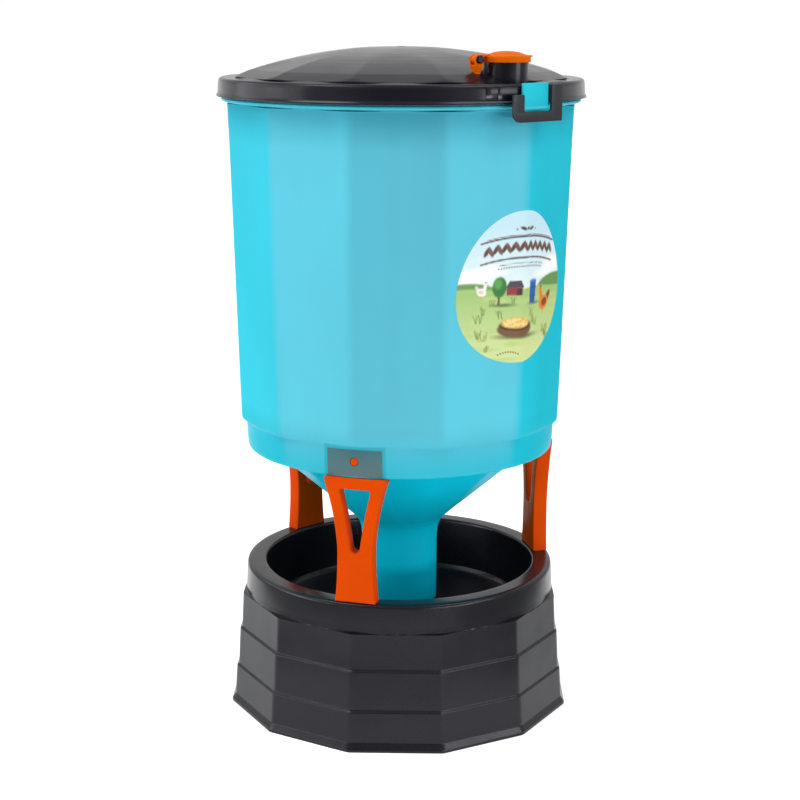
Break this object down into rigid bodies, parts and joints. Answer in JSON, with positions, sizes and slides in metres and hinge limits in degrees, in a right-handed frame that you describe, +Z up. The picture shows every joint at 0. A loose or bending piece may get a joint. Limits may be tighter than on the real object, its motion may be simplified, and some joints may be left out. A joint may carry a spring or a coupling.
{
  "type": "gravity hopper feeder",
  "caption": "Floor-standing gravity feeder: translucent faceted tub with domed lid and filler cap, funnel and outlet neck, on legs over a stepped feed tray.",
  "frame": {"origin": "on the floor, at the centre of the tray's foot", "axes": "+Z up; -Y the front, square to the tray's front facet; +X to the right seen from the front"},
  "size_m": [0.38, 0.38, 0.698],
  "materials": {
    "tray": "glossy",
    "lid": "glossy",
    "tub": "translucent satin",
    "orange": "satin",
    "clip": "satin",
    "label": "printed",
    "steel": "satin",
    "pin": "satin",
    "seal": "matte"
  },
  "bodies": {
    "base": {"tray_base": "tray", "leg_front": "orange", "leg_right": "orange", "leg_rear": "orange", "leg_screws": "steel", "hopper_tub": "tub", "label": "label"},
    "lid": {"lid": "lid", "lid_gasket": "seal", "cap_bracket": "orange", "cap_hinge_pin": "pin", "bracket_screw": "steel"},
    "cap": {"filler_cap": "orange", "cap_seal": "seal"},
    "clip_right": {"lid_clip_right": "clip"},
    "clip_left": {"lid_clip_left": "clip"},
    "button_front": {"leg_button_front": "orange"},
    "button_right": {"leg_button_right": "orange"},
    "button_rear": {"leg_button_rear": "orange"},
    "sleeve": {"flow_sleeve": "tub"}
  },
  "joints": [
    {"name": "lid_lift", "type": "slide", "parent": "base", "child": "lid", "axis": [0, 0, 1], "range_m": [0, 0.1]},
    {"name": "cap_open", "type": "hinge", "parent": "lid", "child": "cap", "pos_m": [0.07368, -0.12882, 0.6885], "axis": [0.5, -0.866, 0], "range_deg": [0, 110]},
    {"name": "clip_right_flex", "type": "hinge", "parent": "lid", "child": "clip_right", "pos_m": [0.15261, -0.11918, 0.65], "axis": [0, 0, 1], "range_deg": [0, 12], "stiffness_Nm_per_rad": 1.5},
    {"name": "clip_left_flex", "type": "hinge", "parent": "lid", "child": "clip_left", "pos_m": [-0.15261, 0.11918, 0.65], "axis": [0, 0, 1], "range_deg": [0, 12], "stiffness_Nm_per_rad": 1.5},
    {"name": "button_front_press", "type": "slide", "parent": "base", "child": "button_front", "axis": [0.2588, 0.9659, 0], "range_m": [0, 0.0025], "stiffness_N_per_m": 1500},
    {"name": "button_right_press", "type": "slide", "parent": "base", "child": "button_right", "axis": [-0.9659, -0.2588, 0], "range_m": [0, 0.0025], "stiffness_N_per_m": 1500},
    {"name": "button_rear_press", "type": "slide", "parent": "base", "child": "button_rear", "axis": [0.7071, -0.7071, 0], "range_m": [0, 0.0025], "stiffness_N_per_m": 1500},
    {"name": "sleeve_slide", "type": "slide", "parent": "base", "child": "sleeve", "axis": [0, 0, -1], "range_m": [0, 0.01]}
  ]
}
